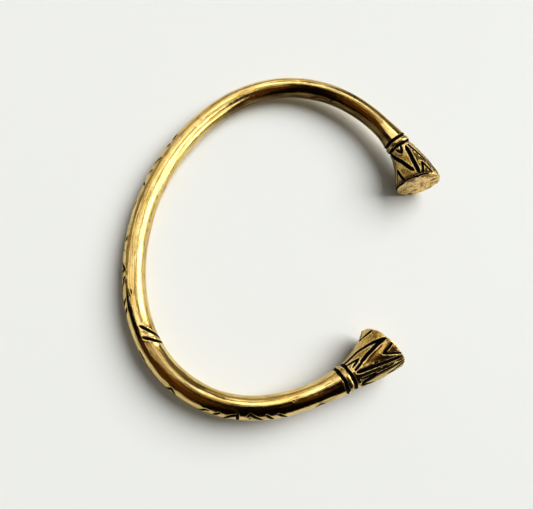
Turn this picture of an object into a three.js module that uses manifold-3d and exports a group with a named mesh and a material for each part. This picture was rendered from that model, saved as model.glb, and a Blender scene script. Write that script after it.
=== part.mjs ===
// An open wrist cuff: one round brass wire bent into a flattened oval, flared at both ends
// into trumpet shapes, and engraved. It lies on its side, as it would on a table.
// Lengths are in millimetres and angles in degrees. +Z is up and +X points to the gap.

import * as THREE from 'three';
import { mergeVertices } from 'three/addons/utils/BufferGeometryUtils.js';
import Module from 'manifold-3d';

// The wire: an arm runs along the metal from the middle of the back to an end face.
const armLength = 74.8;
const wireDiameter = 4.0;

// The trumpet at each end, and the swelling of the wire that leads to it.
const rimDiameter = 9.1;
const rimRounding = 0.35;
const flareLength = 8.7;
const flareHollow = 1.15;
const neckDiameter = 4.8;
const swellLength = 5.0;

// The two turned rings at each neck, with a bead between them.
const ringWidth = 0.5;
const ringDepth = 0.26;
const beadLength = 1.05;
const beadRise = 0.14;

// The engraved strokes: V-shaped cuts that thin out at both ends.
const strokeWidth = 0.44;
const strokeDepth = 0.27;
const strokeTaper = 0.45;
const cutWidth = 0.62;
const cutDepth = 0.4;

// How finely the metal is divided.
const facetsRound = 28;
const wireStep = 3.0;
const flareSteps = 5;
const swellSteps = 3;
const roundingSteps = 3;
const walkSteps = 300;
const strokeSection = 3.0;
const strokeTurn = 16;
const strokeLift = 0.2;

// How sharply each arm bends at a share of its length. A bend is the angle that the whole arm
// would turn through if it went on bending as it does there.
const bendTable = [
  { share: 0.0, upper: 100, lower: 100 },
  { share: 0.2, upper: 90, lower: 105 },
  { share: 0.4, upper: 162, lower: 215 },
  { share: 0.6, upper: 214, lower: 232 },
  { share: 0.8, upper: 160, lower: 90 },
  { share: 1.0, upper: 158, lower: 163 },
];

// The engraving on the flares. A turn is the angle round the metal, 0 facing away from the
// wrist and 90 facing up. A share runs from 0 at the neck to 1 at the rim.
const lineStart = 0.07;
const lineEnd = 0.95;

// Large Vs: two lines that start at the neck and meet at the rim.
const upperVees = [
  { left: 198, tip: 115, right: 103 },
  { left: 90, tip: 36, right: 12 },
  { left: -2, tip: -55, right: -79 },
  { left: -93, tip: -145, right: -149 },
];
const lowerVees = [
  { left: 185, tip: 104, right: 103 },
  { left: 90, tip: 44, right: 40 },
  { left: 27, tip: -15, right: -22 },
  { left: -36, tip: -80, right: -92 },
  { left: -106, tip: -150, right: -162 },
];

// Small Vs at the neck, each inside a large one.
const upperSmallVees = [
  { left: 149, tip: 131, right: 122, reach: 0.26 },
  { left: 72, tip: 52, right: 36, reach: 0.3 },
  { left: -20, tip: -43, right: -62, reach: 0.28 },
  { left: -108, tip: -134, right: -145, reach: 0.28 },
];
const lowerSmallVees = [
  { left: 149, tip: 128, right: 119, reach: 0.3 },
  { left: 72, tip: 58, right: 52, reach: 0.3 },
  { left: 14, tip: 0, right: -12, reach: 0.28 },
  { left: -50, tip: -66, right: -80, reach: 0.28 },
  { left: -120, tip: -138, right: -150, reach: 0.28 },
];

// Chevrons at the rim, in the wedges between two large Vs.
const upperChevrons = [
  { left: 205, apex: 177, right: 151, reach: 0.51 },
  { left: 92, apex: 84, right: 46, reach: 0.6 },
  { left: 18, apex: -2, right: -38, reach: 0.56 },
  { left: -72, apex: -90, right: -130, reach: 0.56 },
];
const lowerChevrons = [
  { left: 195, apex: 168, right: 144, reach: 0.6 },
  { left: 91, apex: 87, right: 62, reach: 0.64 },
  { left: 34, apex: 28, right: 2, reach: 0.6 },
  { left: -24, apex: -32, right: -62, reach: 0.6 },
  { left: -90, apex: -102, right: -132, reach: 0.6 },
];

// The engraved band on the wire's outer face. A share of 1 is the upper arm's end and -1 the
// lower arm's, and each stroke is cut once more, mirrored, on the other half of the band.
const bandStrokes = [
  [{ share: 0.164, turn: 34 }, { share: 0.144, turn: 47 }],
  [{ share: 0.131, turn: 48 }, { share: 0.121, turn: 36 }],
  [{ share: 0.085, turn: 54 }, { share: 0.07, turn: 33 }, { share: 0.052, turn: 7 }],
  [{ share: 0.049, turn: 46 }, { share: 0.042, turn: 25 }, { share: 0.034, turn: 5 }],
  [{ share: 0.006, turn: 43 }, { share: 0.016, turn: 17 }],
  [{ share: 0.016, turn: 17 }, { share: 0.034, turn: 14 }],
  [{ share: -0.037, turn: 30 }, { share: -0.057, turn: 20 }],
  [{ share: -0.127, turn: 35 }, { share: -0.135, turn: 27 }],
  [{ share: -0.183, turn: 12 }, { share: -0.203, turn: 46 }],
  [{ share: -0.203, turn: 46 }, { share: -0.207, turn: 16 }],
  [{ share: -0.22, turn: 45 }, { share: -0.225, turn: 29 }],
  [{ share: -0.228, turn: 38 }, { share: -0.237, turn: 19 }, { share: -0.26, turn: 5 }],
  [{ share: -0.268, turn: 38 }, { share: -0.282, turn: 10 }],
  [{ share: -0.288, turn: 38 }, { share: -0.302, turn: 5 }],
  [{ share: -0.378, turn: 21 }, { share: -0.4, turn: 20 }],
  [{ share: -0.466, turn: 6 }, { share: -0.476, turn: 34 }, { share: -0.488, turn: 15 }],
  [{ share: -0.541, turn: 5 }, { share: -0.554, turn: 35 }],
  [{ share: -0.57, turn: 16 }, { share: -0.581, turn: 42 }],
  [{ share: -0.591, turn: 8 }, { share: -0.602, turn: 36 }, { share: -0.615, turn: 48 }],
  [{ share: -0.637, turn: 44 }, { share: -0.642, turn: 57 }, { share: -0.668, turn: 15 }],
  [{ share: -0.675, turn: 50 }, { share: -0.69, turn: 14 }],
  [{ share: -0.7, turn: 46 }, { share: -0.718, turn: 12 }],
  [{ share: -0.784, turn: 11 }, { share: -0.794, turn: 25 }, { share: -0.804, turn: 17 }],
];

// Three deeper cuts: one straight across the band, and two that arch over the top of the wire
// and meet on its wrist side.
const deepCuts = [
  [{ share: -0.616, turn: 60 }, { share: -0.6175, turn: 35 }, { share: -0.619, turn: 10 }],
  [{ share: -0.334, turn: 72 }, { share: -0.345, turn: 102 }, { share: -0.358, turn: 127 },
    { share: -0.373, turn: 160 }, { share: -0.381, turn: 188 }],
  [{ share: -0.359, turn: 70 }, { share: -0.367, turn: 97 }, { share: -0.375, turn: 120 },
    { share: -0.383, turn: 147 }, { share: -0.386, turn: 176 }],
];

const wireRadius = wireDiameter / 2;
const rimRadius = rimDiameter / 2;
const neckRadius = neckDiameter / 2;
const radians = THREE.MathUtils.degToRad;

// The bend rate of one arm at a share of its length, read between the rows of the table.
function bendAt(share, arm) {
  const next = bendTable.findIndex((row) => row.share >= share);
  const high = bendTable[Math.max(next, 1)];
  const low = bendTable[Math.max(next, 1) - 1];
  const along = (share - low.share) / (high.share - low.share);
  return THREE.MathUtils.lerp(low[arm], high[arm], along);
}

// The middle of the wire along one arm, in small steps, with the way that it heads. The wire
// is followed from the lower end to the upper one, so the lower arm is walked backwards.
function walkArm(arm, direction) {
  const stride = armLength / walkSteps;
  const places = [{ x: 0, y: 0, heading: Math.PI / 2 }];
  for (let i = 0; i < walkSteps; i += 1) {
    const last = places[i];
    const turn = (radians(bendAt((i + 0.5) / walkSteps, arm)) * stride) / armLength;
    const middle = last.heading - (direction * turn) / 2;
    places.push({
      x: last.x + direction * stride * Math.cos(middle),
      y: last.y + direction * stride * Math.sin(middle),
      heading: last.heading - direction * turn,
    });
  }
  return places;
}

const upperWalk = walkArm('upper', 1);
const lowerWalk = walkArm('lower', -1);

// The place, and the heading, at a distance along the metal from the middle of the back.
function placeAt(distance) {
  const walk = distance < 0 ? lowerWalk : upperWalk;
  const step = Math.min((Math.abs(distance) * walkSteps) / armLength, walkSteps);
  const low = Math.min(Math.floor(step), walkSteps - 1);
  const along = step - low;
  const heading = THREE.MathUtils.lerp(walk[low].heading, walk[low + 1].heading, along);
  const past = distance - Math.sign(distance) * Math.min(Math.abs(distance), armLength);
  return {
    x: THREE.MathUtils.lerp(walk[low].x, walk[low + 1].x, along) + past * Math.cos(heading),
    y: THREE.MathUtils.lerp(walk[low].y, walk[low + 1].y, along) + past * Math.sin(heading),
    heading,
  };
}

// Bends a shape made on the straight bar. The bar lies along Y, with the side that will face
// away from the wrist towards +Z and the side that will face up towards +X.
function bend(geometry) {
  const corners = geometry.getAttribute('position');
  for (let i = 0; i < corners.count; i += 1) {
    const place = placeAt(corners.getY(i));
    const outward = corners.getZ(i);
    corners.setXYZ(
      i,
      place.x - outward * Math.sin(place.heading),
      place.y + outward * Math.cos(place.heading),
      corners.getX(i),
    );
  }
  return geometry;
}

// The bar's radius from an end face inwards, as points of distance and radius.
function endProfile() {
  const points = [];
  for (let i = 0; i <= roundingSteps; i += 1) {
    const angle = (i / roundingSteps) * (Math.PI / 2);
    points.push({
      distance: rimRounding * (1 - Math.sin(angle)),
      radius: rimRadius - rimRounding * (1 - Math.cos(angle)),
    });
  }
  points.reverse();
  for (let i = 1; i <= flareSteps; i += 1) {
    const share = 1 - i / flareSteps;
    const distance = flareLength - (flareLength - rimRounding) * share;
    const radius = neckRadius + (rimRadius - neckRadius) * share ** flareHollow;
    points.push({ distance, radius });
  }
  const firstRing = flareLength + ringWidth;
  const beadEnd = firstRing + beadLength;
  const neckEnd = beadEnd + ringWidth;
  points.push({ distance: flareLength + ringWidth / 2, radius: neckRadius - ringDepth });
  points.push({ distance: firstRing, radius: neckRadius });
  points.push({ distance: firstRing + beadLength / 4, radius: neckRadius + beadRise });
  points.push({ distance: beadEnd - beadLength / 4, radius: neckRadius + beadRise });
  points.push({ distance: beadEnd, radius: neckRadius });
  points.push({ distance: beadEnd + ringWidth / 2, radius: neckRadius - ringDepth });
  for (let i = 0; i <= swellSteps; i += 1) {
    const share = 1 - i / swellSteps;
    const radius = wireRadius + (neckRadius - wireRadius) * share * share;
    points.push({ distance: neckEnd + (swellLength * i) / swellSteps, radius });
  }
  return points;
}

// The bar's radius from the lower end face to the upper one.
function barProfile() {
  const upper = endProfile().map((p) => ({ distance: armLength - p.distance, radius: p.radius }));
  const lower = upper.map((p) => ({ distance: -p.distance, radius: p.radius }));
  const wireEnd = upper[upper.length - 1].distance;
  const steps = Math.ceil((2 * wireEnd) / wireStep);
  const wire = [];
  for (let i = 1; i < steps; i += 1) {
    wire.push({ distance: -wireEnd + (2 * wireEnd * i) / steps, radius: wireRadius });
  }
  return [...lower, ...wire, ...upper.reverse()];
}

const profile = barProfile();

// The bar's radius, and how fast it grows, at a distance along the metal.
function surfaceAt(distance) {
  const next = profile.findIndex((p) => p.distance >= distance);
  const high = profile[next < 1 ? profile.length - 1 : next];
  const low = profile[next < 1 ? profile.length - 2 : next - 1];
  const slope = (high.radius - low.radius) / (high.distance - low.distance);
  return { radius: low.radius + slope * (distance - low.distance), slope };
}

// The plain bar, turned about its length and bent.
function makeBar() {
  const outline = profile.map((p) => new THREE.Vector2(p.radius, p.distance));
  outline.unshift(new THREE.Vector2(0, -armLength));
  outline.push(new THREE.Vector2(0, armLength));
  return bend(new THREE.LatheGeometry(outline, facetsRound));
}

// A point on the straight bar, with the way that the metal faces there.
function pointOnBar(distance, turn) {
  const { radius, slope } = surfaceAt(distance);
  const around = new THREE.Vector3(Math.sin(radians(turn)), 0, Math.cos(radians(turn)));
  const place = around.clone().multiplyScalar(radius).setY(distance);
  const facing = around.setY(-slope).normalize();
  return { place, facing };
}

// The tool that leaves one engraved stroke: a wedge that follows the metal through a row of
// points. Its floor lies in the metal and its two edges stand a little above it.
function makeStroke(points, width, depth) {
  const dense = [];
  for (let i = 0; i + 1 < points.length; i += 1) {
    const from = points[i];
    const to = points[i + 1];
    const length = Math.abs(to.distance - from.distance);
    const around = Math.abs(to.turn - from.turn);
    const parts = Math.ceil(Math.max(length / strokeSection, around / strokeTurn));
    for (let k = 0; k < parts; k += 1) {
      dense.push({
        distance: THREE.MathUtils.lerp(from.distance, to.distance, k / parts),
        turn: THREE.MathUtils.lerp(from.turn, to.turn, k / parts),
      });
    }
  }
  dense.push(points[points.length - 1]);

  const onBar = dense.map((p) => pointOnBar(p.distance, p.turn));
  const positions = [];
  onBar.forEach((here, i) => {
    const before = onBar[Math.max(i - 1, 0)].place;
    const after = onBar[Math.min(i + 1, onBar.length - 1)].place;
    const ahead = after.clone().sub(before).normalize();
    const side = here.facing.clone().cross(ahead).normalize();
    const atEnd = i === 0 || i === onBar.length - 1;
    const size = atEnd ? strokeTaper : 1;
    const half = ((width / 2) * (depth * size + strokeLift)) / depth;
    const floor = here.place.clone().addScaledVector(here.facing, -depth * size);
    const crest = here.place.clone().addScaledVector(here.facing, strokeLift);
    const right = crest.clone().addScaledVector(side, -half);
    const left = crest.clone().addScaledVector(side, half);
    positions.push(...floor.toArray(), ...right.toArray(), ...left.toArray());
  });

  const faces = [0, 1, 2];
  for (let i = 0; i + 1 < onBar.length; i += 1) {
    for (let edge = 0; edge < 3; edge += 1) {
      const a = 3 * i + edge;
      const b = 3 * i + ((edge + 1) % 3);
      faces.push(a, a + 3, b + 3, a, b + 3, b);
    }
  }
  const last = 3 * (onBar.length - 1);
  faces.push(last, last + 2, last + 1);

  const geometry = new THREE.BufferGeometry();
  geometry.setAttribute('position', new THREE.Float32BufferAttribute(positions, 3));
  geometry.setIndex(faces);
  return bend(geometry);
}

// The lines of one flare, on the upper arm (direction 1) or the lower one (direction -1).
function flareStrokes(vees, smallVees, chevrons, direction) {
  const point = (share, turn) => ({
    distance: direction * (armLength - flareLength * (1 - share)),
    turn,
  });
  const lines = [];
  vees.forEach((v) => {
    lines.push([point(lineStart, v.left), point(lineEnd, v.tip)]);
    lines.push([point(lineStart, v.right), point(lineEnd, v.tip)]);
  });
  smallVees.forEach((v) => {
    lines.push([point(lineStart, v.left), point(v.reach, v.tip)]);
    lines.push([point(lineStart, v.right), point(v.reach, v.tip)]);
  });
  chevrons.forEach((v) => {
    lines.push([point(v.reach, v.apex), point(lineEnd, v.left)]);
    lines.push([point(v.reach, v.apex), point(lineEnd, v.right)]);
  });
  return lines;
}

// A row of table points as distances along the metal. The side is -1 for the mirrored copy.
function alongArms(row, side) {
  return row.map((p) => ({ distance: p.share * armLength, turn: side * p.turn }));
}

const wasm = await Module();
wasm.setup();

// A closed geometry as a solid that can be cut, with the triangles left out that a turned
// shape folds flat where it meets its axis.
function toSolid(geometry) {
  const bare = geometry.clone();
  bare.deleteAttribute('normal');
  bare.deleteAttribute('uv');
  const merged = mergeVertices(bare);
  const index = merged.getIndex().array;
  const triangles = [];
  for (let i = 0; i < index.length; i += 3) {
    const [a, b, c] = [index[i], index[i + 1], index[i + 2]];
    if (a !== b && b !== c && c !== a) {
      triangles.push(a, b, c);
    }
  }
  return new wasm.Manifold(new wasm.Mesh({
    numProp: 3,
    vertProperties: new Float32Array(merged.getAttribute('position').array),
    triVerts: new Uint32Array(triangles),
  }));
}

function toGeometry(solid) {
  const mesh = solid.getMesh();
  const geometry = new THREE.BufferGeometry();
  geometry.setAttribute('position', new THREE.BufferAttribute(mesh.vertProperties, 3));
  geometry.setIndex(new THREE.BufferAttribute(mesh.triVerts, 1));
  geometry.computeVertexNormals();
  return geometry;
}

// The bar with every stroke cut into it.
function makeCuff() {
  const strokes = [
    ...flareStrokes(upperVees, upperSmallVees, upperChevrons, 1),
    ...flareStrokes(lowerVees, lowerSmallVees, lowerChevrons, -1),
    ...bandStrokes.map((row) => alongArms(row, 1)),
    ...bandStrokes.map((row) => alongArms(row, -1)),
  ].map((points) => makeStroke(points, strokeWidth, strokeDepth));
  const deep = deepCuts.map((row) => makeStroke(alongArms(row, 1), cutWidth, cutDepth));
  let metal = toSolid(makeBar());
  [...strokes, ...deep].forEach((tool) => {
    metal = metal.subtract(toSolid(tool));
  });
  return toGeometry(metal);
}

// The cuff is turned so that its two end faces stand level across the gap, and then tipped
// until the back of the wire and both rims touch the table.
const upperEnd = placeAt(armLength);
const lowerEnd = placeAt(-armLength);
const squareTurn = Math.atan2(upperEnd.x - lowerEnd.x, upperEnd.y - lowerEnd.y);
const cuffGeometry = makeCuff().rotateZ(squareTurn);
cuffGeometry.computeBoundingBox();
const rimReach = upperEnd.x * Math.cos(squareTurn) - upperEnd.y * Math.sin(squareTurn);
const backReach = cuffGeometry.boundingBox.min.x + wireRadius;
const restTilt = Math.asin((rimRadius - wireRadius) / (rimReach - backReach));

const brass = new THREE.MeshStandardMaterial({ color: 0xd9a93f, roughness: 0.18, metalness: 1 });
const cuff = new THREE.Mesh(cuffGeometry, brass);
cuff.name = 'cuff';
cuff.rotation.y = -restTilt;
cuff.updateMatrixWorld(true);

// The origin is on the table, under the middle of the cuff.
const extent = new THREE.Box3().setFromObject(cuff, true);
const middle = extent.getCenter(new THREE.Vector3());
cuff.position.set(-middle.x, -middle.y, -extent.min.z);

const bracelet = new THREE.Group();
bracelet.add(cuff);

export default bracelet;
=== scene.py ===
# %% [markdown]
# # An engraved brass cuff
# The real cuff is one round brass bar, bent into an oval that stays open on one side. Both
# ends widen into trumpets, and a graver has cut dark lines into the outer side.
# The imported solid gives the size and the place. This lesson makes the finer metal that shows
# in its stead, then the metal's finish, the floor, the light and the camera.

import bmesh
import bpy
import numpy as np
from mathutils import Matrix, Vector


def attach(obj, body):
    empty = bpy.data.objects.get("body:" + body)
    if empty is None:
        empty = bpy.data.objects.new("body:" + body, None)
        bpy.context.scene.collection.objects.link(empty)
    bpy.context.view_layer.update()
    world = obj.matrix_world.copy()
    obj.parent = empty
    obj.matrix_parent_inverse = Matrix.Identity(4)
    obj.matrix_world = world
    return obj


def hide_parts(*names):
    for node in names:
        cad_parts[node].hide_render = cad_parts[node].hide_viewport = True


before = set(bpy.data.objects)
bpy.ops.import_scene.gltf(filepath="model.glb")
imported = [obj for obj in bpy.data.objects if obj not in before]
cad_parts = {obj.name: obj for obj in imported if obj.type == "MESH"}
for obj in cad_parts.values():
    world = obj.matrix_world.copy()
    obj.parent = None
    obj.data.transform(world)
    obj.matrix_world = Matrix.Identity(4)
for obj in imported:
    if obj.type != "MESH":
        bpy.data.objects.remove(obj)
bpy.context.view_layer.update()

# %% [markdown]
# ## The camera
# The photograph was taken by hand from above and a little to the left of the opening. The
# camera's place and its three directions could be found by trial, but here they come from a
# pinhole camera that was fitted to the outline, so they are given as plain vectors.

# %% Place the camera
camera_place = Vector((-0.011343, -0.040663, 0.089417))
camera_right = Vector((0.93123, 0.28959, 0.22124))
camera_up = Vector((-0.34963, 0.88118, 0.31825))
camera_lens = 35.2035
sensor_width = 36.0
nearest_seen = 0.005

camera_back = camera_right.cross(camera_up)
camera_turn = Matrix((camera_right, camera_up, camera_back)).transposed()
camera = bpy.data.objects.new("photo_camera", bpy.data.cameras.new("photo_camera"))
camera.matrix_world = Matrix.Translation(camera_place) @ camera_turn.to_4x4()
camera.data.lens = camera_lens
camera.data.sensor_width = sensor_width
camera.data.sensor_fit = "HORIZONTAL"
camera.data.clip_start = nearest_seen
bpy.context.scene.collection.objects.link(camera)
bpy.context.scene.camera = camera
print("the camera stands", round(camera_place.z * 1000, 1), "mm above the floor")

# %% [markdown]
# ## The bar before it is bent
# A smith bends the cuff from a straight bar, and the mesh is made in the same order. On the
# straight bar a place is easy to name: a distance along the metal from the middle of the
# back, and a turn round it, 0 on the side that will face away from the wrist and 90 on top.
# Lengths are in millimetres until the last step, as they are in the solid's own source.

# %% Sizes of the bar
arm_length = 74.8
wire_radius = 2.0
rim_radius = 4.55
rim_rounding = 0.35
flare_length = 8.7
flare_hollow = 1.15
neck_radius = 2.4
swell_length = 5.0
ring_width = 0.6
ring_depth = 0.3
bead_length = 0.95
bead_rise = 0.14

first_ring = flare_length + ring_width / 2
bead_start = flare_length + ring_width
bead_end = bead_start + bead_length
second_ring = bead_end + ring_width / 2
neck_end = bead_end + ring_width
wire_start = neck_end + swell_length
print("from an end face to the plain wire:", wire_start, "mm")

# %% [markdown]
# The outline of the bar is one curve from an end face inwards: a hollow trumpet, a ring
# groove, a bead, a second groove and a slow thinning to the wire. It is written as a
# function of the distance to the nearer end face, so that any row of vertices can ask for
# its own radius.

# %% The radius at a distance from the nearer end face
def bar_radius(from_end):
    flare_share = np.clip((flare_length - from_end) / (flare_length - rim_rounding), 0, 1)
    flare = neck_radius + (rim_radius - neck_radius) * flare_share**flare_hollow
    swell_share = np.clip((wire_start - from_end) / swell_length, 0, 1)
    swell = wire_radius + (neck_radius - wire_radius) * swell_share**2
    radius = np.where(from_end < flare_length, flare, swell)

    along_bead = np.clip((from_end - bead_start) / bead_length, 0, 1)
    radius = radius + bead_rise * np.sqrt(np.sin(np.pi * along_bead).clip(0))
    for ring in (first_ring, second_ring):
        off_ring = np.clip(np.abs(from_end - ring) / (ring_width / 2), 0, 1)
        radius = radius - ring_depth * (1 + np.cos(np.pi * off_ring)) / 2
    return radius


print("radius at the neck and in the wire:", bar_radius(np.array([flare_length, 40.0])))

# %% [markdown]
# ## Turn the bar
# On a lathe the outline is swept round the axis. Blender's spin does the same with a chain of
# vertices. Only the places where the outline changes its kind are needed at first: the
# chain is spun, the ends are closed and the rims rounded by a bevel. After that each zone is
# divided into as many rows as its shape needs.

# %% Spin the outline
columns = 72
zone_borders = [flare_length, bead_start, bead_end, neck_end, wire_start]

bar = bmesh.new()
from_ends = [0.0] + zone_borders
chain_places = [(arm_length - gap, gap) for gap in from_ends]
chain_places += [(gap - arm_length, gap) for gap in reversed(from_ends)]
chain = []
for distance, gap in chain_places:
    radius = rim_radius if gap == 0 else float(bar_radius(np.array(gap)))
    chain.append(bar.verts.new((0, distance, radius)))
for here, after in zip(chain, chain[1:]):
    bar.edges.new((here, after))
bmesh.ops.spin(
    bar, geom=bar.verts[:] + bar.edges[:], cent=(0, 0, 0), axis=(0, 1, 0),
    angle=2 * np.pi, steps=columns, use_merge=True,
)
print("the turned bar has", len(bar.faces), "faces")

# %% Close and round the ends
face_rings = 9
rim_segments = 5
face_ring_width = 0.42

rim_edges = [edge for edge in bar.edges if edge.is_boundary]
bmesh.ops.edgeloop_fill(bar, edges=rim_edges)
bmesh.ops.recalc_face_normals(bar, faces=bar.faces[:])
bmesh.ops.bevel(
    bar, geom=rim_edges, offset=rim_rounding, segments=rim_segments, profile=0.5,
    affect="EDGES", material=-1,
)
caps = [face for face in bar.faces if len(face.verts) == columns]
for cap in caps:
    for _ in range(face_rings):
        bmesh.ops.inset_region(bar, faces=[cap], thickness=face_ring_width, use_even_offset=True)
bmesh.ops.poke(bar, faces=caps)
print("closed:", all(edge.is_manifold for edge in bar.edges))

# %% Divide the bar into rows
# Each zone runs between two distances from an end face, and has its own space between rows.
row_spaces = [
    (rim_rounding, flare_length, 0.3),
    (flare_length, bead_start, 0.06),
    (bead_start, bead_end, 0.1),
    (bead_end, neck_end, 0.06),
    (neck_end, wire_start, 0.3),
    (wire_start, arm_length, 0.35),
]
along_bar = 0.2


def from_end_of(edge):
    return arm_length - abs((edge.verts[0].co.y + edge.verts[1].co.y) / 2)


for low, high, space in row_spaces:
    lengthwise = [
        edge for edge in bar.edges
        if low < from_end_of(edge) <= high
        and abs(edge.verts[0].co.y - edge.verts[1].co.y) > along_bar
    ]
    longest = max(edge.calc_length() for edge in lengthwise)
    bmesh.ops.subdivide_edges(
        bar, edges=lengthwise, cuts=round(longest / space) - 1, use_grid_fill=True
    )
print("the bar now has", len(bar.faces), "faces")

# %% [markdown]
# ## The engraving
# Each line is a chain of places: a share, 0 at the neck and 1 at the rim, and a turn round the
# metal. The lines that the photograph shows are drawn as they are there. Round the far side
# the same motif goes on, from the solid's own tables: a large V, a small V inside it at the
# neck, and a chevron at the rim between two large Vs.

# %% Lines that the photograph shows
broad_line = 0.78
wide_line = 0.62
middle_line = 0.5
narrow_line = 0.4

# Each row is (width, chain of (share, turn)).
upper_drawn = [
    (broad_line, [(0.0, 190), (0.2, 165), (0.39, 145), (0.76, 122)]),
    (broad_line, [(0.09, 100), (0.457, 109), (0.86, 111)]),
    (middle_line, [(0.02, 145), (0.19, 131)]),
    (middle_line, [(0.01, 118), (0.19, 130)]),
    (narrow_line, [(0.5, 176), (0.92, 188)]),
    (wide_line, [(0.5, 176), (0.91, 152)]),
    (middle_line, [(0.07, 84), (0.45, 70), (0.95, 56)]),
    (narrow_line, [(0.1, 40), (0.5, 52), (0.92, 52)]),
    (middle_line, [(0.6, 86), (0.9, 102)]),
    (middle_line, [(0.6, 86), (0.93, 76)]),
]
lower_drawn = [
    (middle_line, [(0.0, 155), (0.345, 149), (0.663, 129), (0.94, 107)]),
    (narrow_line, [(0.02, 138), (0.28, 125)]),
    (narrow_line, [(0.08, 116), (0.27, 124)]),
    (narrow_line, [(0.07, 100), (0.3, 110)]),
    (wide_line, [(0.26, 111), (0.457, 115), (0.732, 114), (0.92, 109)]),
    (middle_line, [(0.68, 88), (0.94, 91)]),
    (narrow_line, [(0.68, 88), (0.95, 60)]),
    (wide_line, [(0.085, 89), (0.466, 73), (0.92, 53)]),
    (middle_line, [(0.09, 37), (0.395, 46), (0.94, 38)]),
    (narrow_line, [(0.09, 60), (0.39, 54)]),
    (narrow_line, [(0.1, 45), (0.39, 51)]),
    (middle_line, [(0.62, 172), (0.94, 145)]),
    (narrow_line, [(0.62, 172), (0.94, 190)]),
]
rim_marks = [(narrow_line, [(0.95, 92), (0.965, 125), (0.96, 165), (0.945, 200)])]
print(len(upper_drawn) + len(lower_drawn), "lines are drawn as they are seen")

# %% Lines round the far side
line_start = 0.07
vee_end = 0.9
line_end = 0.95
vee_hollow = 1.9
tip_gap = 3

# Large Vs (left, tip, right), small Vs (left, tip, right, reach) and chevrons (left, apex,
# right, reach), as turns round the metal.
upper_vees = [(0, -46, -79), (-93, -140, -152)]
upper_small_vees = [(-20, -43, -62, 0.28), (-108, -134, -145, 0.28)]
upper_chevrons = [(32, 14, -24, 0.56), (-66, -88, -124, 0.56)]
lower_vees = [(27, -15, -22), (-36, -80, -92), (-106, -150, -162)]
lower_small_vees = [(14, 0, -12, 0.28), (-50, -66, -80, 0.28), (-120, -138, -150, 0.28)]
lower_chevrons = [(30, 22, 2, 0.6), (-26, -38, -64, 0.6), (-92, -106, -134, 0.6)]


def vee_line(side, tip, way):
    """One line of a large V. On a cone a straight cut turns fast near the neck, then slowly."""
    chain = []
    for step in (0, 0.33, 0.67, 1):
        share = line_start + (vee_end - line_start) * step
        chain.append((share, tip + way * tip_gap + (side - tip) * (1 - step) ** vee_hollow))
    return chain


def far_lines(vees, small_vees, chevrons):
    lines = []
    for left, tip, right in vees:
        lines.append((wide_line, vee_line(left, tip, 1)))
        lines.append((wide_line, vee_line(right, tip, -1)))
    for left, tip, right, reach in small_vees:
        lines += [(narrow_line, [(line_start, side), (reach, tip)]) for side in (left, right)]
    for left, apex, right, reach in chevrons:
        lines += [(middle_line, [(reach, apex), (line_end, side)]) for side in (left, right)]
    return lines


def on_flare(lines, arm):
    return [
        (width, [(arm * (arm_length - flare_length * (1 - share)), turn) for share, turn in chain])
        for width, chain in lines
    ]


flare_lines = on_flare(upper_drawn + far_lines(upper_vees, upper_small_vees, upper_chevrons), 1)
flare_lines += on_flare(lower_drawn + far_lines(lower_vees, lower_small_vees, lower_chevrons), -1)
print(len(flare_lines), "lines on the flares")

# %% Strokes on the wire
# Each row is a chain of (share of the arm, turn). A negative share is on the lower arm.
band_strokes = [
    [(0.164, 34), (0.144, 47)],
    [(0.131, 48), (0.121, 36)],
    [(0.085, 54), (0.07, 33), (0.052, 7)],
    [(0.049, 46), (0.042, 25), (0.034, 5)],
    [(0.006, 43), (0.016, 17)],
    [(0.016, 17), (0.034, 14)],
    [(-0.037, 30), (-0.057, 20)],
    [(-0.127, 35), (-0.135, 27)],
    [(-0.183, 12), (-0.203, 46)],
    [(-0.203, 46), (-0.207, 16)],
    [(-0.22, 45), (-0.225, 29)],
    [(-0.228, 38), (-0.237, 19), (-0.26, 5)],
    [(-0.268, 38), (-0.282, 10)],
    [(-0.288, 38), (-0.302, 5)],
    [(-0.378, 21), (-0.4, 20)],
    [(-0.466, 6), (-0.476, 34), (-0.488, 15)],
    [(-0.541, 5), (-0.554, 35)],
    [(-0.57, 16), (-0.581, 42)],
    [(-0.591, 8), (-0.602, 36), (-0.615, 48)],
    [(-0.637, 44), (-0.642, 57), (-0.668, 15)],
    [(-0.675, 50), (-0.69, 14)],
    [(-0.7, 46), (-0.718, 12)],
    [(-0.784, 11), (-0.794, 25), (-0.804, 17)],
]
deep_cuts = [
    [(-0.616, 60), (-0.6175, 35), (-0.619, 10)],
    [(-0.335, 82), (-0.345, 103), (-0.357, 128), (-0.372, 161), (-0.381, 188)],
    [(-0.36, 76), (-0.369, 102), (-0.376, 122), (-0.382, 142), (-0.386, 170)],
]
nicks = [
    [(0.575, 181), (0.595, 170)],
    [(-0.25, 74), (-0.26, 76)],
]


def along_arms(row, side=1):
    return [(share * arm_length, side * turn) for share, turn in row]


band_lines = [along_arms(row, side) for side in (1, -1) for row in band_strokes]
print(len(band_lines), "strokes in the band")

# %% Dots and pits
# Single blows of a point, and small casting pits: (share of the arm, turn, radius).
dots = [
    (0.639, 165, 0.2), (-0.736, 91, 0.11), (-0.759, 2, 0.2), (-0.131, 34, 0.16),
    (-0.157, 27, 0.16), (-0.558, 34, 0.16), (-0.642, 30, 0.16),
]
print(len(dots), "dots")

# %% [markdown]
# A graver leaves a V-shaped furrow, shallow where it goes in and out, and it pushes up a low
# lip on each side. Cutting every furrow with a boolean would give poor faces on polished
# metal. So the furrows are a field: for any place on the bar, how far it is to the nearest
# furrow's edge and how deep the metal lies there. The mesh is then moved by that field.

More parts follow.
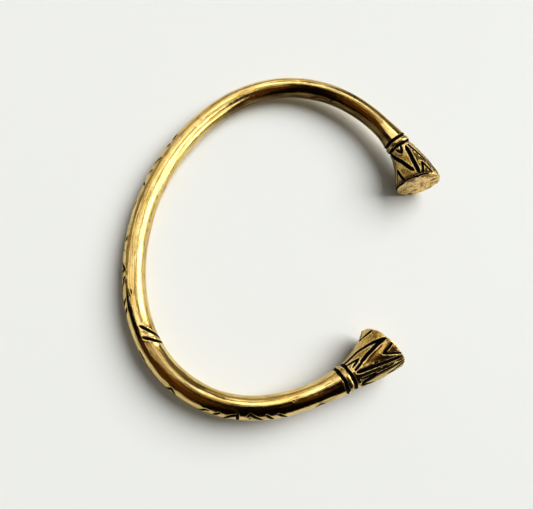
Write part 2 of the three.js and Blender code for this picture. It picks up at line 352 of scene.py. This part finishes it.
# %% The furrows as one field
flare_line_depth = 0.55
stroke_width = 0.46
stroke_depth = 0.3
rim_mark_depth = 0.12
cut_width = 0.46
cut_depth = 0.34
nick_width = 0.22
nick_depth = 0.05
end_size = 0.6
taper_length = 0.5
dot_hollow = 0.8
far_away = 2.0
lip_height = 0.095
lip_width = 0.14

furrows = [(chain, width, flare_line_depth * width) for width, chain in flare_lines]
furrows += [(line, stroke_width, stroke_depth) for line in band_lines]
furrows += [(chain, width, rim_mark_depth) for width, chain in on_flare(rim_marks, 1)]
furrows += [(along_arms(row), cut_width, cut_depth) for row in deep_cuts]
furrows += [(along_arms(row), nick_width, nick_depth) for row in nicks]


def pieces_of(points, distance, turn, radius):
    """For each straight piece of a line: how far off it the places lie, how far along the
    line that is, and how long the line is."""
    steps = np.diff(points, axis=0)
    lengths = np.hypot(steps[:, 0], np.radians(steps[:, 1]) * radius.mean())
    starts = np.concatenate([[0], np.cumsum(lengths)])
    for i, (step, turn_step) in enumerate(steps):
        middle_turn = points[i, 1] + turn_step / 2
        near_turn = (turn - middle_turn + 180) % 360 - 180 + middle_turn
        past, past_around = distance - points[i, 0], np.radians(near_turn - points[i, 1]) * radius
        step_around = np.radians(turn_step) * radius
        share = (past * step + past_around * step_around) / (step**2 + step_around**2)
        share = np.clip(share, 0, 1)
        off_line = np.hypot(past - share * step, past_around - share * step_around)
        yield off_line, starts[i] + share * lengths[i], starts[-1]


def furrow_field(distance, turn, radius):
    """The distance to the nearest furrow's edge, negative inside it, and the depth there."""
    edge_gap = np.full(len(distance), far_away)
    depth_here = np.zeros(len(distance))
    for line, width, depth in furrows:
        points = np.array(line, float)
        first, last = points[:, 0].min() - far_away, points[:, 0].max() + far_away
        near = (distance > first) & (distance < last)
        if not near.any():
            continue
        for off_line, along, length in pieces_of(points, distance[near], turn[near], radius[near]):
            to_end = np.minimum(along, length - along) / min(taper_length, length / 2)
            size = end_size + (1 - end_size) * np.clip(to_end, 0, 1)
            half_width = width / 2 * size
            edge_gap[near] = np.minimum(edge_gap[near], off_line - half_width)
            cut = depth * size * np.clip(1 - off_line / half_width, 0, 1)
            depth_here[near] = np.maximum(depth_here[near], cut)
    for share, dot_turn, dot_radius in dots:
        around = np.radians((turn - dot_turn + 180) % 360 - 180) * radius
        off_dot = np.hypot(distance - share * arm_length, around)
        edge_gap = np.minimum(edge_gap, off_dot - dot_radius)
        bowl = dot_radius * np.clip(1 - (off_dot / dot_radius) ** 2, 0, 1) * dot_hollow
        depth_here = np.maximum(depth_here, bowl)
    return edge_gap, depth_here


print(len(furrows), "furrows")

# %% [markdown]
# A furrow is narrower than two columns of the bar, so the mesh is divided again, but only
# along the furrows. Elsewhere the wide faces stay, which keeps the piece light. Vertices that
# this leaves in the middle of an edge are dissolved, or triangles would fold over there.

# %% Finer faces along the furrows
engraved_edge = 0.12
engraved_reach = 0.22
fine_rounds = 3
face_gap = 1e-3


def bar_places(points):
    distance = points[:, 1]
    turn = np.degrees(np.arctan2(points[:, 0], points[:, 2]))
    return distance, turn, np.hypot(points[:, 0], points[:, 2])


for _ in range(fine_rounds):
    bar.edges.ensure_lookup_table()
    ends = np.array([[edge.verts[0].co[:], edge.verts[1].co[:]] for edge in bar.edges])
    edge_lengths = np.linalg.norm(ends[:, 0] - ends[:, 1], axis=1)
    gap = furrow_field(*bar_places(ends.mean(axis=1)))[0]
    chosen = np.nonzero((edge_lengths > engraved_edge) & (gap < engraved_reach))[0]
    bmesh.ops.subdivide_edges(
        bar, edges=[bar.edges[i] for i in chosen], cuts=1, use_grid_fill=True
    )
face_tops = [
    edge for edge in bar.edges
    if all(abs(abs(corner.co.y) - arm_length) < face_gap for corner in edge.verts)
]
bmesh.ops.subdivide_edges(bar, edges=face_tops, cuts=1, use_grid_fill=True)
mid_edge = [vertex for vertex in bar.verts if len(vertex.link_edges) == 2]
bmesh.ops.dissolve_verts(bar, verts=mid_edge)
many_sided = [face for face in bar.faces if len(face.verts) > 4]
bmesh.ops.triangulate(bar, faces=many_sided)
print("the engraved bar has", sum(len(face.verts) - 2 for face in bar.faces), "triangles")
print("closed:", all(edge.is_manifold for edge in bar.edges))

# %% [markdown]
# ## The marks of the hand
# Cast and filed brass is never quite round or straight. Sums of a few long waves give the
# wire its slow ripples, which bend the reflections. The end faces were struck flat with a
# hammer, so shallow round dents cover them, and the rims wander a little.

# %% Slow ripples and hammer dents
wave_sizes = (0.7, 1.4)
dent_sizes = (0.6, 1.2)
dent_depths = (0.4, 1)


def ripple(places, wave_length, seed, waves=14):
    """A smooth random field, mostly between -1 and 1, with features of one size."""
    random = np.random.default_rng(seed)
    ways = random.normal(size=(waves, 3))
    ways /= np.linalg.norm(ways, axis=1)[:, None]
    sizes = random.uniform(*wave_sizes, waves)
    phases = random.uniform(0, 2 * np.pi, waves)
    turns = places @ (ways * (2 * np.pi / wave_length * sizes)[:, None]).T
    return np.sin(turns + phases).sum(axis=1) / np.sqrt(waves / 2) / 2


def hammer_dents(up, outward, seed, drawn, count=30, dent_radius=0.95, dent_depth=0.22):
    """How deep the end face is struck in. Drawn dents are (up, outward, radius, depth)."""
    random = np.random.default_rng(seed)
    depth = np.zeros(len(up))
    for _ in range(count):
        spread = rim_radius * np.sqrt(random.uniform(0, 1))
        angle = random.uniform(0, 2 * np.pi)
        radius = dent_radius * random.uniform(*dent_sizes)
        off = np.hypot(up - spread * np.cos(angle), outward - spread * np.sin(angle))
        deepest = dent_depth * random.uniform(*dent_depths)
        depth = np.maximum(depth, deepest * (1 - (off / radius) ** 2))
    for dent_up, dent_out, radius, deepest in drawn:
        off = np.hypot(up - dent_up, outward - dent_out) / radius
        depth = depth + deepest * np.clip(1 - off**2, 0, 1)
    return depth


trial_places = np.linspace((0, 0, 0), (0, 99, 0), 999)
print("a ripple reaches", ripple(trial_places, wave_length=3, seed=2).max().round(2))

# %% [markdown]
# Each furrow gets its lips, lower on the rubbed wire than on the flares. Two ripples lie over
# the whole bar, a long one drawn out along it and a short faint one. The rims wander more
# than the rest, because they were finished by eye.

# %% Lips, ripples and rims
ripple_height, ripple_length, ripple_stretch = 0.024, 3.2, 0.55
fine_ripple_height, fine_ripple_length = 0.007, 1.1
rim_height, rim_length, rim_fade = 0.11, 3.2, 3
wire_lip = 0.3
still_middle = 0.5

plain = np.array([vertex.co[:] for vertex in bar.verts])
distance, turn, radius = bar_places(plain)
from_end = arm_length - np.abs(distance)
on_side = from_end > rim_rounding
radius = np.where(on_side, bar_radius(from_end), radius)
smooth_bar = np.column_stack([
    radius * np.sin(np.radians(turn)), distance, radius * np.cos(np.radians(turn)),
])
stretched = smooth_bar * (1, ripple_stretch, 1)

edge_gap, furrow_depth = furrow_field(distance, turn, radius)
lip_share = np.where(from_end < flare_length, 1, wire_lip)
off_lip = (edge_gap - lip_width) / lip_width
lip = lip_share * lip_height * np.exp(-(off_lip**2)) * (edge_gap > 0)
waves = ripple_height * (ripple(stretched, ripple_length, seed=11) - 1)
waves = waves + fine_ripple_height * (ripple(smooth_bar, fine_ripple_length, seed=12) - 1)
rim_share = np.clip(1 - from_end / flare_length, 0, 1) ** rim_fade
rim_wander = rim_height * rim_share * (ripple(smooth_bar, rim_length, seed=13) - 1)
marks = on_side * (lip - furrow_depth) + waves + rim_wander
worked_radius = radius + np.where(radius > still_middle, marks, 0)
worked_radius = np.where(
    from_end < face_gap, radius * (1 + rim_wander / rim_radius), worked_radius
)
print("deepest furrow:", furrow_depth.max().round(2), "mm")

# %% [markdown]
# The end faces were struck with a hammer. Most dents lie at random, but the large ones and
# the pits lie where they are seen. Each of those is (up, outward, radius, depth), measured
# from the middle of its face.

# %% The struck end faces
face_inset = 0.02
upper_dents = [
    (2.9, -3.3, 1.5, 0.4), (4.2, -1.0, 1.1, 0.25), (1.92, 2.4, 0.75, 0.3),
    (-3.8, -0.3, 0.45, 0.3), (0.4, -1.6, 0.8, 0.1),
]
lower_dents = [(3.6, 1.2, 1.2, 0.25), (-1.5, 2.0, 0.4, 0.15), (0.5, -2.4, 0.9, 0.12)]

on_face = np.clip(1 - from_end / rim_rounding, 0, 1)
dents = np.where(
    distance > 0,
    hammer_dents(smooth_bar[:, 0], smooth_bar[:, 2], seed=21, drawn=upper_dents),
    hammer_dents(smooth_bar[:, 0], smooth_bar[:, 2], seed=22, drawn=lower_dents),
)
worked_distance = distance - np.sign(distance) * on_face * (dents + face_inset)
worked_bar = np.column_stack([
    worked_radius * np.sin(np.radians(turn)), worked_distance,
    worked_radius * np.cos(np.radians(turn)),
])
print("deepest dent:", (on_face * dents).max().round(2), "mm")

# %% [markdown]
# Two dark bands are painted into the metal's colour as painted dark reflections: one on the
# flare's side behind the upper rim, and a brown one on the wrist side of the upper arm. Both are
# shares from 0 to 1 that later only colour the metal. Slow waves make their borders wander, so
# that they look less regular.

# %% Painted dark reflections behind the rim and on the wrist side
rim_reflection_middle, rim_reflection_half_turn, rim_reflection_blur = 145, 60, 15
rim_reflection_from_end, rim_reflection_reach, rim_reflection_strength = 0.6, 0.7, 1.7
wrist_reflection_start, wrist_reflection_stop = 0.2, 0.84
wrist_reflection_fade_in, wrist_reflection_fade_out = 0.14, 0.08
wrist_reflection_middle, wrist_reflection_half_turn, wrist_reflection_blur = 171, 25, 9
end_wander, end_wave_length = 0.03, 6.0
side_wander, side_wave_length = 6, 4.0


def within_turn(middle, half_turn, blur, wander=0):
    """1 near one turn round the bar and 0 away from it, with a soft border."""
    off_middle = np.abs((turn - middle + 180) % 360 - 180) + wander
    return np.clip((half_turn - off_middle) / blur + 0.5, 0, 1)


# A painted dark reflection on the flare's side, just behind the upper rim.
rim_dark_reflection = np.exp(-(((from_end - rim_reflection_from_end) / rim_reflection_reach) ** 2)) * (distance > 0)
rim_dark_reflection = np.clip(rim_reflection_strength * rim_dark_reflection, 0, 1) * (1 - on_face)
rim_dark_reflection = rim_dark_reflection * within_turn(rim_reflection_middle, rim_reflection_half_turn, rim_reflection_blur)
arm_share = distance / arm_length + end_wander * ripple(smooth_bar, end_wave_length, seed=15)
side_waves = side_wander * ripple(stretched, side_wave_length, seed=16)
# A painted dark reflection: a brown band along the wrist side of the upper arm.
wrist_dark_reflection = np.clip((arm_share - wrist_reflection_start) / wrist_reflection_fade_in, 0, 1)
wrist_dark_reflection *= np.clip((wrist_reflection_stop + wrist_reflection_fade_out - arm_share) / wrist_reflection_fade_out, 0, 1)
wrist_dark_reflection *= within_turn(wrist_reflection_middle, wrist_reflection_half_turn, wrist_reflection_blur, side_waves)
print("share of the vertices in the tarnish:", (wrist_dark_reflection > 0).mean().round(2))

# %% [markdown]
# ## Bend the bar
# Each arm bends more sharply in some places than in others. The table says how far a whole
# arm would turn if it went on bending as it does at that share of its length. Walking along
# the arm in small steps gives the middle of the wire and the way it heads, and each vertex is
# carried there with its place across the bar kept.

# %% The middle of the wire
bend_shares = [0.0, 0.2, 0.4, 0.6, 0.8, 1.0]
upper_bends = [100, 90, 162, 214, 160, 158]
lower_bends = [100, 105, 215, 232, 90, 163]
walk_steps = 300


def walk_arm(bends, direction):
    stride = arm_length / walk_steps
    shares = (np.arange(walk_steps) + 0.5) / walk_steps
    turns = np.radians(np.interp(shares, bend_shares, bends)) / walk_steps
    headings = np.pi / 2 - direction * np.concatenate([[0], np.cumsum(turns)])
    middles = headings[:-1] - direction * turns / 2
    x = np.concatenate([[0], np.cumsum(direction * stride * np.cos(middles))])
    y = np.concatenate([[0], np.cumsum(direction * stride * np.sin(middles))])
    return x, y, headings


upper_walk = walk_arm(upper_bends, 1)
lower_walk = walk_arm(lower_bends, -1)
walk = [np.concatenate([low[:0:-1], up]) for low, up in zip(lower_walk, upper_walk)]
walk_distance = np.linspace(-arm_length, arm_length, 2 * walk_steps + 1)


def bend(places):
    x, y, heading = (np.interp(places[:, 1], walk_distance, values) for values in walk)
    outward = places[:, 2]
    return np.column_stack([
        x - outward * np.sin(heading), y + outward * np.cos(heading), places[:, 0],
    ])


print("the gap between the ends:", round(float(upper_walk[1][-1] - lower_walk[1][-1]), 1), "mm")

# %% [markdown]
# ## Lay the cuff down
# The cuff is turned until its end faces stand level across the gap, tipped until the back
# and both rims touch the floor, and moved over the origin. The smooth bar is laid down first
# to find these moves, because the engraving must not shift the piece off its solid.

# %% Turn, tip and move
def turned_about_z(places, angle):
    c, s = np.cos(angle), np.sin(angle)
    return places @ np.array([[c, s, 0], [-s, c, 0], [0, 0, 1]])


def tipped_about_y(places, angle):
    c, s = np.cos(angle), np.sin(angle)
    return places @ np.array([[c, 0, -s], [0, 1, 0], [s, 0, c]])


square_turn = np.arctan2(
    upper_walk[0][-1] - lower_walk[0][-1], upper_walk[1][-1] - lower_walk[1][-1]
)
squared = turned_about_z(bend(smooth_bar), square_turn)
rim_reach = upper_walk[0][-1] * np.cos(square_turn) - upper_walk[1][-1] * np.sin(square_turn)
back_reach = squared[:, 0].min() + wire_radius
rest_tilt = np.arcsin((rim_radius - wire_radius) / (rim_reach - back_reach))
lying = tipped_about_y(squared, -rest_tilt)
low, high = lying.min(axis=0), lying.max(axis=0)
shift = -np.array([(low[0] + high[0]) / 2, (low[1] + high[1]) / 2, low[2]])


def laid_down(places):
    return tipped_about_y(turned_about_z(bend(places), square_turn), -rest_tilt) + shift


print("tipped by", round(float(np.degrees(rest_tilt)), 2), "degrees; moved by", shift.round(3))

# %% Make the piece
metres = 0.001
placed = laid_down(worked_bar) * metres
for vertex, place in zip(bar.verts, placed):
    vertex.co = place
bmesh.ops.recalc_face_normals(bar, faces=bar.faces[:])
for face in bar.faces:
    face.smooth = True
cuff_mesh = bpy.data.meshes.new("cuff_metal")
bar.to_mesh(cuff_mesh)
bar.free()
print("made from", len(cuff_mesh.vertices), "vertices")

# %% [markdown]
# The finish needs to know some things of each vertex: where it lies on the straight bar, how far
# it is from a furrow, how dented the metal is there, and how much of the two painted dark
# reflections lies on it. The ring grooves are turned, but the patina that fills them has a
# wavering border.

# %% What the finish needs to know
ring_wander_height, ring_wander_length = 0.1, 1.5
dark_ring_share = 0.58
full_hollow = 0.25

straight = cuff_mesh.attributes.new("straight_bar", "FLOAT_VECTOR", "POINT")
straight.data.foreach_set("vector", smooth_bar.ravel())
ring_gap = np.minimum(np.abs(from_end - first_ring), np.abs(from_end - second_ring))
ring_wander = ring_wander_height * ripple(smooth_bar, ring_wander_length, seed=14)
ring_edge = ring_gap + ring_wander - ring_width * dark_ring_share
vertex_values = {
    "furrow_edge": np.minimum(edge_gap, ring_edge),
    "end_face": on_face,
    "hollow": np.clip(on_face * dents / full_hollow, 0, 1),
    # The shares of the two painted dark reflections.
    "rim_dark_reflection": rim_dark_reflection,
    "wrist_dark_reflection": wrist_dark_reflection,
    "flare": np.clip((neck_end - from_end) / bead_length, 0, 1),
}
for name, values in vertex_values.items():
    layer = cuff_mesh.attributes.new(name, "FLOAT", "POINT")
    layer.data.foreach_set("value", values)
print("each vertex knows its", ", ".join(vertex_values))

# %% [markdown]
# The finished mesh now stands in for the solid: on the same body, in its place and with the
# same metal.

# %% Stand in for the solid
cuff = bpy.data.objects.new("cuff_metal", cuff_mesh)
bpy.context.scene.collection.objects.link(cuff)
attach(cuff, "root")
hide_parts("cuff")

# %% [markdown]
# ## The brass
# Old brass that is worn every day is bright where it rubs, and dark brown where dirt and
# oxide stay: in the furrows and pits. Fine scratches run along the wire from wiping.
# Noise is laid on the straight bar and drawn out along it, so that it follows the bend.
# The helpers keep the node work short. `mapped` turns one range of a value into another:
# from low, from high, to low, to high.

# %% Helpers for the finish
brass = bpy.data.materials.new("worn_brass")
brass.use_nodes = True
nodes, links = brass.node_tree.nodes, brass.node_tree.links
shader = nodes["Principled BSDF"]


def named_attribute(name, output="Fac"):
    node = nodes.new("ShaderNodeAttribute")
    node.attribute_name = name
    return node.outputs[output]


bar_place = named_attribute("straight_bar", "Vector")


def bar_noise(along, scale, detail=4.0, roughness=0.6):
    """Noise on the straight bar. The smaller along is, the longer it is drawn out."""
    mapping = nodes.new("ShaderNodeMapping")
    mapping.inputs["Scale"].default_value = (1, along, 1)
    links.new(bar_place, mapping.inputs["Vector"])
    noise = nodes.new("ShaderNodeTexNoise")
    noise.inputs["Scale"].default_value = scale
    noise.inputs["Detail"].default_value = detail
    noise.inputs["Roughness"].default_value = roughness
    links.new(mapping.outputs["Vector"], noise.inputs["Vector"])
    return noise.outputs["Fac"]


def mapped(value, low, high, to_low, to_high):
    node = nodes.new("ShaderNodeMapRange")
    ends = {"From Min": low, "From Max": high, "To Min": to_low, "To Max": to_high}
    for socket, number in ends.items():
        node.inputs[socket].default_value = number
    links.new(value, node.inputs["Value"])
    return node.outputs["Result"]


print("the finish starts from", shader.name)

# %% Helpers that mix and combine
# A mix node has sockets of several kinds. These are the colour ones.
first_colour, second_colour, mixed_colour = 6, 7, 2


def mixed(share, first, second):
    node = nodes.new("ShaderNodeMix")
    node.data_type = "RGBA"
    links.new(share, node.inputs["Factor"])
    for socket, colour in ((first_colour, first), (second_colour, second)):
        if isinstance(colour, tuple):
            node.inputs[socket].default_value = (*colour, 1)
        else:
            links.new(colour, node.inputs[socket])
    return node.outputs[mixed_colour]


def combined(kind, first, second):
    node = nodes.new("ShaderNodeMath")
    node.operation = kind
    node.use_clamp = kind != "MULTIPLY"
    for socket, value in zip(node.inputs, (first, second)):
        if isinstance(value, (int, float)):
            socket.default_value = value
        else:
            links.new(value, socket)
    return node.outputs[0]


def times(first, second):
    return combined("MULTIPLY", first, second)


print("the bar's place comes from", bar_place.node.attribute_name)

# %% Colours of the brass
gold = (0.85, 0.66, 0.29)
deep_gold = (0.61, 0.43, 0.13)
# A pale gold for the lips on the flares, which also carries a painted highlight.
rubbed_highlight_gold = (0.93, 0.73, 0.35)
# A dull gold for the ground between the flares' furrows, darkened further as painted shade.
dull_and_shaded_gold = (0.56, 0.39, 0.1)
end_gold = (0.99, 0.72, 0.28)
# A tan used as painted shade on the end faces.
end_relief_shade_tan = (0.34, 0.17, 0.04)
# A brown for stains on the wire, and for stains with painted shade in the end faces' dents.
stain_and_shade_brown = (0.18, 0.075, 0.014)
# The next two browns are painted dark reflections: on the wrist side of the upper arm, and behind
# the upper rim.
wrist_reflection_brown = (0.055, 0.022, 0.003)
rim_reflection_brown = (0.035, 0.014, 0.004)
brown_patina = (0.004, 0.002, 0.001)

on_end = named_attribute("end_face")
on_flare_share = named_attribute("flare")
past_furrow = named_attribute("furrow_edge")
in_furrow = mapped(past_furrow, -0.01, 0.05, 1, 0)
fine_streaks = bar_noise(0.06, 5.0)
wide_streaks = bar_noise(0.1, 1.6)
clouds = bar_noise(0.4, 0.5)
specks = bar_noise(1, 2.6)
struck = bar_noise(1, 0.9, 3.0, 0.7)
print("the places and noises take", len(nodes), "nodes")

# %% [markdown]
# The rubbed metal comes first. The wire is gold with deeper streaks. The end faces are yellower,
# with tan between the dents, which is painted shade of the hammered relief. On the flares the
# ground between the furrows is dull and darkened with painted shade, and the raised lips, which
# rub most, are pale and carry a painted highlight.

# %% Rubbed metal, with painted shade and a painted highlight
end_share = 0.9

tone = mixed(mapped(wide_streaks, 0.42, 0.66, 0, 1), gold, deep_gold)
tone = mixed(times(on_end, end_share), tone, end_gold)
# Painted shade on the end faces, where the struck noise is high.
tone = mixed(times(mapped(struck, 0.47, 0.57, 0, 0.85), on_end), tone, end_relief_shade_tan)
# Dull metal between the furrows on the flares, darkened further as painted shade.
off_lips = times(mapped(past_furrow, 0.14, 0.34, 0, 1), on_flare_share)
dull_and_shaded_places = times(off_lips, mapped(specks, 0.35, 0.6, 0.4, 0.95))
tone = mixed(times(dull_and_shaded_places, mapped(on_end, 0, 0.3, 1, 0)), tone, dull_and_shaded_gold)
# The raised lips: pale rubbed metal with a painted highlight.
lips_rubbed_and_highlit = times(mapped(past_furrow, 0.1, 0.26, 0.9, 0), on_flare_share)
tone = mixed(lips_rubbed_and_highlit, tone, rubbed_highlight_gold)
print("rubbed metal:", len(nodes), "nodes")

# %% [markdown]
# Then come the dark places: stains in the dents, deeper in the deeper dents as painted shade,
# spots and streaks on the wire, a painted dark reflection behind the upper rim and another on the
# wrist side of the upper arm, and last the patina in the furrows. Patina is an oxide, so it is no
# metal and hardly shines.

# %% Stains, painted shade, painted dark reflections and patina
dent_part, speck_part = 0.7, 0.5
patina_shine = 0.08

# Brown stains in the end faces' dents, with painted shade that grows with the dent's depth.
deep_share = times(named_attribute("hollow"), dent_part)
hollow_share = combined("ADD", deep_share, times(specks, speck_part))
dent_stain_and_shade = times(mapped(hollow_share, 0.62, 0.85, 0, 0.9), on_end)
streak_spots = mapped(fine_streaks, 0.52, 0.64, 0, 0.75)
round_spots = mapped(specks, 0.62, 0.68, 0, 0.9)
spots = combined("MAXIMUM", streak_spots, round_spots)
wire_stain = times(spots, mapped(clouds, 0.4, 0.6, 0.3, 1))
# A painted dark reflection behind the upper rim.
painted_rim_reflection = times(named_attribute("rim_dark_reflection"), mapped(specks, 0.35, 0.55, 0.6, 1))
# A painted dark reflection on the wrist side of the upper arm.
painted_wrist_reflection = times(named_attribute("wrist_dark_reflection"), mapped(wide_streaks, 0.3, 0.6, 0.72, 0.97))
tone = mixed(combined("MAXIMUM", dent_stain_and_shade, wire_stain), tone, stain_and_shade_brown)
tone = mixed(painted_rim_reflection, tone, rim_reflection_brown)
tone = mixed(painted_wrist_reflection, tone, wrist_reflection_brown)
shader.inputs["Base Color"].default_value = (*gold, 1)
links.new(mixed(in_furrow, tone, brown_patina), shader.inputs["Base Color"])
links.new(mapped(in_furrow, 0, 1, 1, 0), shader.inputs["Metallic"])
shader.inputs["Specular IOR Level"].default_value = patina_shine
print("with the dark places:", len(nodes), "nodes")

# %% Polish and scratches
polished = 0.07
worn = 0.2
flare_wear = 0.09
end_wear = 0.06
patina_roughness = 0.4
scratch_height = 0.00003
scratch_strength = 0.55
grain_height = 0.0005
grain_strength = 0.8

roughness = mapped(fine_streaks, 0.35, 0.7, polished, worn)
rougher_places = [
    (on_flare_share, flare_wear), (on_end, end_wear), (in_furrow, patina_roughness)
]
for share, extra in rougher_places:
    roughness = combined("ADD", roughness, times(share, extra))
links.new(roughness, shader.inputs["Roughness"])

scratches = nodes.new("ShaderNodeBump")
scratches.inputs["Strength"].default_value = scratch_strength
scratches.inputs["Distance"].default_value = scratch_height
links.new(fine_streaks, scratches.inputs["Height"])
grain = nodes.new("ShaderNodeBump")
grain.inputs["Distance"].default_value = grain_height
links.new(times(on_end, grain_strength), grain.inputs["Strength"])
links.new(struck, grain.inputs["Height"])
links.new(scratches.outputs["Normal"], grain.inputs["Normal"])
links.new(grain.outputs["Normal"], shader.inputs["Normal"])
cuff_mesh.materials.append(brass)
print(brass.name, "has", len(nodes), "nodes")

# %% [markdown]
# ## Floor and light
# The floor is plain and pale. Polished metal shows the shape of its lights, so the studio is
# made of large softboxes: a bright window on the right, pale walls behind and on the left, and
# dark brown ones towards the viewer. They light the metal alone. A broad soft sun and a weak
# fill light the floor, which keeps it even and its shadows soft.

# %% The floor
floor_size = 6.0
floor_colour = (0.8, 0.81, 0.79)
floor_roughness = 0.7

floor_bmesh = bmesh.new()
bmesh.ops.create_grid(floor_bmesh, x_segments=1, y_segments=1, size=floor_size / 2)
floor_mesh = bpy.data.meshes.new("floor")
floor_bmesh.to_mesh(floor_mesh)
floor_bmesh.free()
floor = bpy.data.objects.new("floor", floor_mesh)
floor_finish = bpy.data.materials.new("pale_floor")
floor_finish.use_nodes = True
floor_shader = floor_finish.node_tree.nodes["Principled BSDF"]
floor_shader.inputs["Base Color"].default_value = (*floor_colour, 1)
floor_shader.inputs["Roughness"].default_value = floor_roughness
floor_mesh.materials.append(floor_finish)
bpy.context.scene.collection.objects.link(floor)
print("the floor is", floor_size, "m wide")

# %% The softboxes
light_distance = 0.9


def softbox(name, azimuth, elevation, wide, tall, brightness, colour=(1, 1, 1)):
    """A rectangle of light seen from the cuff at these angles, in degrees. Its power grows
    with its area, so that brightness alone says how bright the metal sees it."""
    a, e = np.radians(azimuth), np.radians(elevation)
    way = Vector((np.cos(a) * np.cos(e), np.sin(a) * np.cos(e), np.sin(e)))
    side = Vector((-np.sin(a), np.cos(a), 0))
    data = bpy.data.lights.new(name, "AREA")
    data.shape = "RECTANGLE"
    data.size = 2 * light_distance * np.tan(np.radians(wide / 2))
    data.size_y = 2 * light_distance * np.tan(np.radians(tall / 2))
    data.energy = brightness * np.pi * data.size * data.size_y
    data.color = colour
    light = bpy.data.objects.new(name, data)
    axes = Matrix((side, way.cross(side), way)).transposed().to_4x4()
    light.matrix_world = Matrix.Translation(way * light_distance) @ axes
    light.visible_camera = False
    light.visible_diffuse = False
    bpy.context.scene.collection.objects.link(light)


# Each row is (name, azimuth, elevation, width and height in degrees, brightness, colour).
softboxes = [
    ("window", 26, 23, 58, 48, 1.25),
    ("window_core", 44, 44, 28, 34, 2.6),
    ("window_low", 12, 22, 22, 16, 1.9),
    ("ceiling_pane", 76, 59, 40, 26, 0.85),
    ("high_wall", 148, 60, 68, 28, 1.25),
    ("high_ceiling", 135, 79, 36, 12, 0.5, (1, 0.98, 0.92)),
    ("pale_wall", 141, 38, 86, 16, 1.0, (1, 0.97, 0.9)),
    ("middle_wall", 114, 22, 56, 16, 0.76, (1, 0.93, 0.85)),
    ("low_wall", 118, 7, 68, 14, 0.47, (1, 0.88, 0.62)),
    ("side_wall", 167, 17, 40, 26, 0.4, (1, 0.85, 0.55)),
    ("dusk_gap", 69, 22, 20, 44, 0.22, (1, 0.8, 0.45)),
    ("brown_side", 236, 36, 44, 70, 0.09, (1, 0.5, 0.1)),
    ("brown_ceiling", 200, 74, 36, 20, 0.2, (1, 0.45, 0.08)),
    ("warm_pane", 24, 72, 20, 10, 0.3, (1, 0.76, 0.36)),
    ("red_side", -16, 38, 22, 70, 0.1, (1, 0.42, 0.06)),
]
for row in softboxes:
    softbox(*row)
window_width = round(bpy.data.lights["window"].size, 2)
print(len(softboxes), "softboxes, and the window's is", window_width, "m wide")

# %% [markdown]
# The softboxes leave the floor unlit, or its shadows would be hard and many. A sun as wide as
# a clouded sky lights the floor from the window's side. It doesn't show in the metal.

# %% The soft sky
sky_azimuth = 50
sky_elevation = 48
sky_width = 54
sky_strength = 3.75

sky = bpy.data.lights.new("sky", "SUN")
sky.energy = sky_strength
sky.angle = np.radians(sky_width)
sky_light = bpy.data.objects.new("sky", sky)
sky_light.rotation_euler = (0, np.radians(90 - sky_elevation), np.radians(sky_azimuth))
sky_light.visible_glossy = False
bpy.context.scene.collection.objects.link(sky_light)
print("the sky stands", sky_elevation, "degrees up")

# %% [markdown]
# The metal sees a dark room between the softboxes. Matt surfaces see a weak grey instead,
# which fills the shadows, and the camera sees a plain backdrop.

# %% The dark room
room_colour = (0.005, 0.003, 0.002)
fill_colour = (0.19, 0.19, 0.18)
backdrop_colour = (0.78, 0.77, 0.74)
tone_gamma = 0.85

world = bpy.data.worlds.new("room")
bpy.context.scene.world = world
world.use_nodes = True
room_nodes, room_links = world.node_tree.nodes, world.node_tree.links
room = room_nodes["Background"]
room.inputs["Color"].default_value = (*room_colour, 1)
backdrop = room_nodes.new("ShaderNodeBackground")
backdrop.inputs["Color"].default_value = (*backdrop_colour, 1)
seen = room_nodes.new("ShaderNodeLightPath")
fill = room_nodes.new("ShaderNodeBackground")
fill.inputs["Color"].default_value = (*fill_colour, 1)
fill_or_room = room_nodes.new("ShaderNodeMixShader")
room_links.new(seen.outputs["Is Diffuse Ray"], fill_or_room.inputs["Fac"])
room_links.new(room.outputs["Background"], fill_or_room.inputs[1])
room_links.new(fill.outputs["Background"], fill_or_room.inputs[2])
either = room_nodes.new("ShaderNodeMixShader")
room_links.new(seen.outputs["Is Camera Ray"], either.inputs["Fac"])
room_links.new(fill_or_room.outputs["Shader"], either.inputs[1])
room_links.new(backdrop.outputs["Background"], either.inputs[2])
room_links.new(either.outputs["Shader"], room_nodes["World Output"].inputs["Surface"])
bpy.context.scene.view_settings.view_transform = "Standard"
bpy.context.scene.view_settings.gamma = tone_gamma
print("the room's colour is", room_colour)
